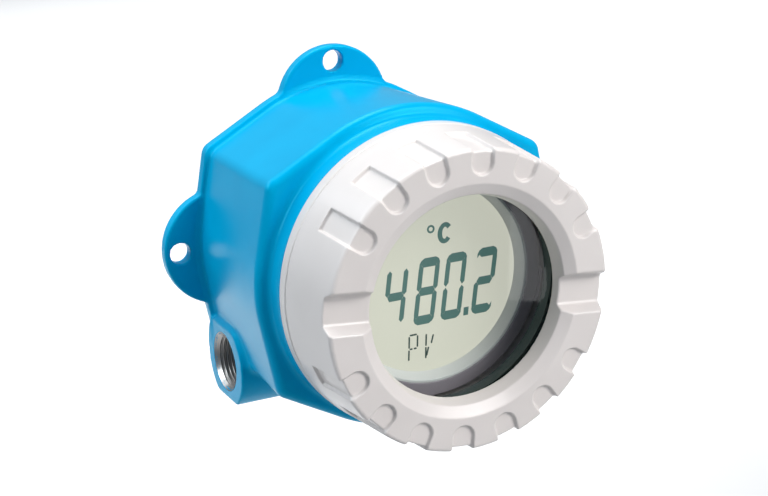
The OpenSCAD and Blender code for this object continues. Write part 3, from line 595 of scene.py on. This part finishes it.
NODE_LOOKS = {
    "window_gasket": "rubber", "window_glass": "glass", "retaining_ring": "ring", "cover_seal": "rubber",
    "display_frame": "frame", "display_tabs": "frame",
    "lcd_glass": "lcd", "lcd_reflector": "white", "zebra_strips": "rubber",
    "display_board": "board", "display_chips": "chip", "display_back": "grey", "display_plug": "chip",
    "display_socket": "chip", "module_case": "grey", "potting_block": "resin", "main_board": "board",
    "board_components": "chip", "module_lid": "white", "module_screws": "steel",
    "sensor_terminal_block": "green", "supply_terminal_block": "orange", "terminal_contacts": "brass",
    "dip_switch_body": "red", "dip_slider_1": "white", "dip_slider_2": "white",
    "inner_ground_clamp": "steel", "inner_ground_screw": "steel", "outer_ground_clamp": "steel",
    "outer_ground_screw": "steel", "housing": "blue", "cover": "pale",
}
for i in range(1, 7):
    NODE_LOOKS[f"terminal_clamp_{i}"] = "steel"
    NODE_LOOKS[f"terminal_screw_{i}"] = "steel"
for name, look in NODE_LOOKS.items():
    node = NODES[name]
    node.data.materials.clear()
    node.data.materials.append(M[look])


def finish_piece(ob, look, body, slot, *replaced):
    """Give a piece its material and body, and hide the nodes it takes the place of. The slot argument is not
    used.
    """
    ob.data.materials.clear()
    ob.data.materials.append(M[look])
    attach(ob, body)
    if replaced:
        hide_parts(*replaced)


# Threads of the cable entries
ENTRY_PITCH, ENTRY_THREAD_LENGTH, ENTRY_THREAD_START = 1.5, 15.2, 0.05
ENTRY_THREAD_R, RIDGE_HEIGHT, RIDGE_SLOPE, RIDGE_FOOT = 10.05, 0.86, 2.6, 0.3
MOUTH_CHAMFER, MOUTH_R = 1.25, 11.28
STEPS_AROUND, ROWS_PER_PITCH = 96, 14


def thread_piece(name, side):
    """Bare metal thread with its chamfer, as one swept surface along the entry's axis."""
    rows = int(ENTRY_THREAD_LENGTH / ENTRY_PITCH * ROWS_PER_PITCH)
    verts, faces = [], []
    for i in range(rows + 1):
        x = ENTRY_FACE - ENTRY_THREAD_START - ENTRY_THREAD_LENGTH * i / rows
        for k in range(STEPS_AROUND):
            a = 2 * math.pi * k / STEPS_AROUND
            phase = ((ENTRY_FACE - x) / ENTRY_PITCH - side * k / STEPS_AROUND) % 1.0
            ridge = min(1.0, max(0.0, (0.5 - abs(phase - 0.5)) * RIDGE_SLOPE - RIDGE_FOOT))
            chamfer = ENTRY_THREAD_R + MOUTH_CHAMFER - (ENTRY_FACE - x)
            r = min(max(ENTRY_THREAD_R - RIDGE_HEIGHT * ridge, chamfer), MOUTH_R)
            verts.append((side * x, -(ENTRY_H + r * math.cos(a)), -ENTRY_DROP + r * math.sin(a)))
    for i in range(rows):
        for k in range(STEPS_AROUND):
            a, b = i * STEPS_AROUND + k, i * STEPS_AROUND + (k + 1) % STEPS_AROUND
            quad = (a, b, b + STEPS_AROUND, a + STEPS_AROUND)
            faces.append(quad if side > 0 else quad[::-1])
    return mesh_from_arrays(name, verts, faces)


# Display
LCD_H, INK_T = 78.9, 0.04
DIGIT_MID_Z, DIGIT_W, DIGIT_H, DIGIT_SLANT = -4.6, 4.1, 12.0, 0.15  # width and height are halves
STROKE, BAR, SEGMENT_GAP = 1.8, 3.35, 0.035
BAR_WIDTH, BAR_TAPER = 0.62, 0.25
RING_STEPS, TURN_STEPS = 24, 160
CONE_IN_R, CONE_LIP_R, CONE_TOP_R, CONE_OUT_R = 34.0, 34.1, 36.1, 37.0
CONE_BACK, CONE_LIP_H, CONE_FRONT = 79.05, 79.3, 83.2
FRAME_IN_R, FRAME_SKIRT_R, FRAME_OUT_R = 37.05, 41.0, 42.0
FRAME_SKIRT_BACK, FRAME_BACK, FRAME_FRONT = 71.9, 75.0, 83.4


def plate(name, polygons):
    """Thin raised shapes on the display glass, from lists of (x, z) corners in either direction."""
    verts, faces = [], []
    mesh = bpy.data.meshes.new(name)
    for poly in polygons:
        n, base = len(poly), len(verts)
        area = sum(poly[i - 1][0] * poly[i][1] - poly[i][0] * poly[i - 1][1] for i in range(n))
        if area < 0:
            poly = poly[::-1]
        verts += [(x * MM, -(LCD_H + INK_T) * MM, z * MM) for x, z in poly]
        verts += [(x * MM, -LCD_H * MM, z * MM) for x, z in poly]
        faces.append(tuple(range(base, base + n)))
        faces.append(tuple(range(base + 2 * n - 1, base + n - 1, -1)))
        for i in range(n):
            j = (i + 1) % n
            faces.append((base + j, base + i, base + n + i, base + n + j))
    mesh.from_pydata(verts, [], faces)
    mesh.update()
    ob = bpy.data.objects.new(name, mesh)
    bpy.context.scene.collection.objects.link(ob)
    return ob


def digit(char, x_mid):
    """Seven-segment digit of an LCD, with pointed ends and a thin gap between its segments."""
    w, h, stroke, g, half = DIGIT_W, DIGIT_H, STROKE, SEGMENT_GAP, STROKE / 2
    tip, side, inner = h - 2.4, h - 3.6, h - BAR
    upper = [(-w, side - g), (-w + half, tip - g), (-w + stroke, inner - g), (-w + stroke, 1.5 + g),
             (-w + half, 0.15 + g), (-w, 1.1 + g)]
    top = [(-w + 0.1, side + g), (-w + 0.1, h - 1.9), (-w + 0.7, h - 0.75), (-w + 1.9, h), (w - 1.9, h),
           (w - 0.7, h - 0.75), (w - 0.1, h - 1.9), (w - 0.1, side + g), (w - half, tip + g),
           (w - stroke, inner + g), (-w + stroke, inner + g), (-w + half, tip + g)]
    middle = [(-w + half + g, 0), (-w + stroke, 1.5), (w - stroke, 1.5), (w - half - g, 0), (w - stroke, -1.5),
              (-w + stroke, -1.5)]
    flip_x = lambda poly: [(-x, z) for x, z in poly]
    flip_z = lambda poly: [(x, -z) for x, z in poly]
    parts = {"a": top, "b": flip_x(upper), "c": flip_x(flip_z(upper)), "d": flip_z(top), "e": flip_z(upper),
             "f": upper, "g": middle}
    lit = {"4": "bcfg", "8": "abcdefg", "0": "abcdef", "2": "abdeg"}[char]
    return [[(x_mid + x + DIGIT_SLANT * z, DIGIT_MID_Z + z) for x, z in parts[k]] for k in lit]


def bar_line(x0, z0, x1, z1):
    """Thin pointed segment between two points."""
    dx, dz = x1 - x0, z1 - z0
    n = math.hypot(dx, dz)
    dx, dz = dx / n, dz / n
    px, pz = -dz * BAR_WIDTH / 2, dx * BAR_WIDTH / 2
    t = min(BAR_TAPER, n / 3)
    return [(x0, z0), (x0 + dx * t + px, z0 + dz * t + pz), (x1 - dx * t + px, z1 - dz * t + pz), (x1, z1),
            (x1 - dx * t - px, z1 - dz * t - pz), (x0 + dx * t - px, z0 + dz * t - pz)]


def arc_strip(x, z, outer, inner, start, stop, steps, slant=0.0):
    """Pairs of points along a curved stroke; outer and inner are half widths and half heights."""
    rows = []
    for i in range(steps + 1):
        a = math.radians(start + (stop - start) * i / steps)
        c, s = math.cos(a), math.sin(a)
        rows.append([(x + r[0] * c + slant * r[1] * s, z + r[1] * s) for r in (outer, inner)])
    return rows


def stroke_polygon(rows):
    return [r[0] for r in rows] + [r[1] for r in rows[::-1]]


def ring_polygons(x, z, outer, inner):
    rows = arc_strip(x, z, (outer, outer), (inner, inner), 0, 360, RING_STEPS)
    return [[rows[i][0], rows[i + 1][0], rows[i + 1][1], rows[i][1]] for i in range(RING_STEPS)]


def build_characters():
    big = digit("4", -13.2) + digit("8", -1.0) + digit("0", 9.7) + digit("2", 22.0)
    big.append([(13.25, -16.35), (15.2, -16.35), (15.5, -13.35), (13.5, -13.35)])
    big.append(stroke_polygon(arc_strip(6.65, 15.35, (2.85, 3.8), (1.05, 2.15), 38, 322, 26, 0.08)))
    big += ring_polygons(1.2, 17.5, 1.5, 0.78)
    bars = [
        (-8.35, -20.2, -8.55, -24.7), (-8.2, -19.85, -5.3, -19.85), (-5.05, -20.2, -5.3, -24.6),
        (-8.4, -24.95, -7.1, -24.95), (-6.8, -24.95, -5.5, -24.95), (-8.6, -25.2, -8.85, -29.2),
        (-1.65, -20.4, -1.9, -24.9), (-1.95, -25.2, -2.1, -29.5), (1.15, -21.0, 0.2, -24.3),
        (-0.85, -25.3, -1.8, -28.6)]
    return plate("lcd_digits", big), plate("lcd_letters", [bar_line(*ends) for ends in bars])


def revolve(name, profile):
    """Mesh of a section turned about the cover's axis; the section is (radius, h) in millimetres."""
    n = len(profile)
    ang = 2 * math.pi * np.arange(TURN_STEPS) / TURN_STEPS
    verts = np.empty((TURN_STEPS, n, 3))
    verts[..., 0] = np.cos(ang)[:, None] * profile[:, 0]
    verts[..., 1] = -profile[:, 1]
    verts[..., 2] = np.sin(ang)[:, None] * profile[:, 0]
    faces = []
    for i in range(TURN_STEPS):
        j = (i + 1) % TURN_STEPS
        for k in range(n):
            m = (k + 1) % n
            faces.append((i * n + k, i * n + m, j * n + m, j * n + k))
    return mesh_from_arrays(name, verts.reshape(-1, 3), faces)


def build_display_frame():
    """Frame of the display: the light cone round its glass and the darker ring round the cone."""
    cone = round_section([
        (CONE_IN_R, CONE_BACK, 0.1), (CONE_LIP_R, CONE_LIP_H, 0.1), (CONE_TOP_R, CONE_FRONT, 0.3),
        (CONE_OUT_R, CONE_FRONT, 0.1), (CONE_OUT_R, CONE_BACK, 0.1)], 0.48, 5, 5)
    front = round_section([
        (FRAME_IN_R, FRAME_BACK, 0.1), (FRAME_IN_R, FRAME_FRONT, 0.35), (FRAME_OUT_R, FRAME_FRONT, 0.3),
        (FRAME_OUT_R, FRAME_SKIRT_BACK, 0.3), (FRAME_SKIRT_R, FRAME_SKIRT_BACK, 0.1),
        (FRAME_SKIRT_R, FRAME_BACK, 0.1)], 0.48, 5, 5)
    return revolve("display_cone", cone), revolve("display_rim", front)


# Build
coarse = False
finish_piece(build_housing(coarse), "blue", "housing", "blue_enamel", "housing")
finish_piece(build_cover(coarse), "pale", "cover", "pale_enamel", "cover")
for side, name in ((-1, "left_entry_thread"), (1, "right_entry_thread")):
    finish_piece(thread_piece(name, side), "bare", "housing", "blue_enamel")


SEAM_START, SEAM_END, SEAM_GAP, SEAM_ROWS = 60.2, 70.2, 0.2, 8
SEAM_FOOT, SEAM_TOP, SEAM_SUNK, SEAM_RISE = 0.22, 0.08, 0.05, 0.12


def parting_line():
    """Thin raised seam of the mould on the front of the upper ear, on both sides of its hole."""
    section = [(-SEAM_FOOT, -(FLANGE_T - SEAM_SUNK)), (-SEAM_TOP, -(FLANGE_T + SEAM_RISE)),
               (SEAM_TOP, -(FLANGE_T + SEAM_RISE)), (SEAM_FOOT, -(FLANGE_T - SEAM_SUNK))]
    verts, faces = [], []
    clear = EAR_HOLE_R + SEAM_GAP
    for z0, z1 in ((SEAM_START, EAR_HOLE_AT - clear), (EAR_HOLE_AT + clear, SEAM_END)):
        base = len(verts)
        for z in np.linspace(z0, z1, SEAM_ROWS):
            verts += [(x, y, z) for x, y in section]
        for i in range(SEAM_ROWS - 1):
            for k in range(4):
                a, b = base + 4 * i + k, base + 4 * i + (k + 1) % 4
                faces.append((a, b, b + 4, a + 4))
    return mesh_from_arrays("mould_seam", verts, faces)


finish_piece(parting_line(), "blue", "housing", "blue_enamel")
digits, letters = build_characters()
finish_piece(digits, "ink", "display", "lcd")
finish_piece(letters, "fine_ink", "display", "lcd")
cone, rim = build_display_frame()
finish_piece(cone, "cone", "display", "frame_plastic")
finish_piece(rim, "frame", "display", "frame_plastic", "display_frame")


# Stage and light
FLOOR_HALF, FLOOR_Z = 6.0, -0.40  # metres, like all of the stage and the lights
WORLD_COLOUR, WORLD_STRENGTH = (0.75, 0.87, 1.0, 1), 0.30
CENTRE = (0, -0.05, 0)


def add_floor():
    mesh = bpy.data.meshes.new("floor")
    s, z = FLOOR_HALF, FLOOR_Z
    mesh.from_pydata([(-s, -s, z), (s, -s, z), (s, s, z), (-s, s, z)], [], [(0, 1, 2, 3)])
    floor = bpy.data.objects.new("floor", mesh)
    bpy.context.scene.collection.objects.link(floor)
    m = Shader("floor_paint")
    m.colours(m.noise(3, 2), (0.54, 0.54, 0.54, 1), (0.56, 0.56, 0.56, 1))
    m.set(Roughness=0.9)
    mesh.materials.append(m.mat)


def area_light(name, at, target, size, power, spread, colour=(1, 1, 1)):
    """Square area light; size in metres, power in watts, spread in degrees."""
    data = bpy.data.lights.new(name, "AREA")
    data.energy = power
    data.color = colour
    data.size = size
    data.spread = math.radians(spread)
    ob = bpy.data.objects.new(name, data)
    ob.location = at
    direction = Vector(target) - Vector(at)
    ob.rotation_euler = direction.to_track_quat("-Z", "Y").to_euler()
    bpy.context.scene.collection.objects.link(ob)


add_floor()
world = bpy.data.worlds.new("studio")
bpy.context.scene.world = world
world.use_nodes = True
world.node_tree.nodes["Background"].inputs["Color"].default_value = WORLD_COLOUR
world.node_tree.nodes["Background"].inputs["Strength"].default_value = WORLD_STRENGTH
area_light("front_right", (0.6, -1.1, 0.8), CENTRE, 0.9, 2.95, 60, (1.0, 0.97, 0.955))
area_light("left_high", (-1.0, 0.1, 0.6), CENTRE, 0.6, 0.85, 60, (0.88, 0.95, 1.0))
area_light("overhead", (0.0, 0.1, 1.2), CENTRE, 0.8, 1.6, 60)
area_light("back_left", (-0.7, 0.8, 0.9), CENTRE, 0.6, 0.45, 60, (0.9, 0.96, 1.0))
area_light("low_right", (0.8, -0.95, -0.25), CENTRE, 0.5, 0.2, 60)
area_light("backdrop", (1.05, 2.1, 1.0), (1.05, 2.1, -0.4), 3.3, 62.0, 80)
area_light("backdrop_near", (0.45, 0.75, 0.9), (0.45, 0.75, -0.4), 0.8, 1.7, 60)
bpy.context.scene.view_settings.view_transform = "Standard"
bpy.context.scene.view_settings.look = "None"
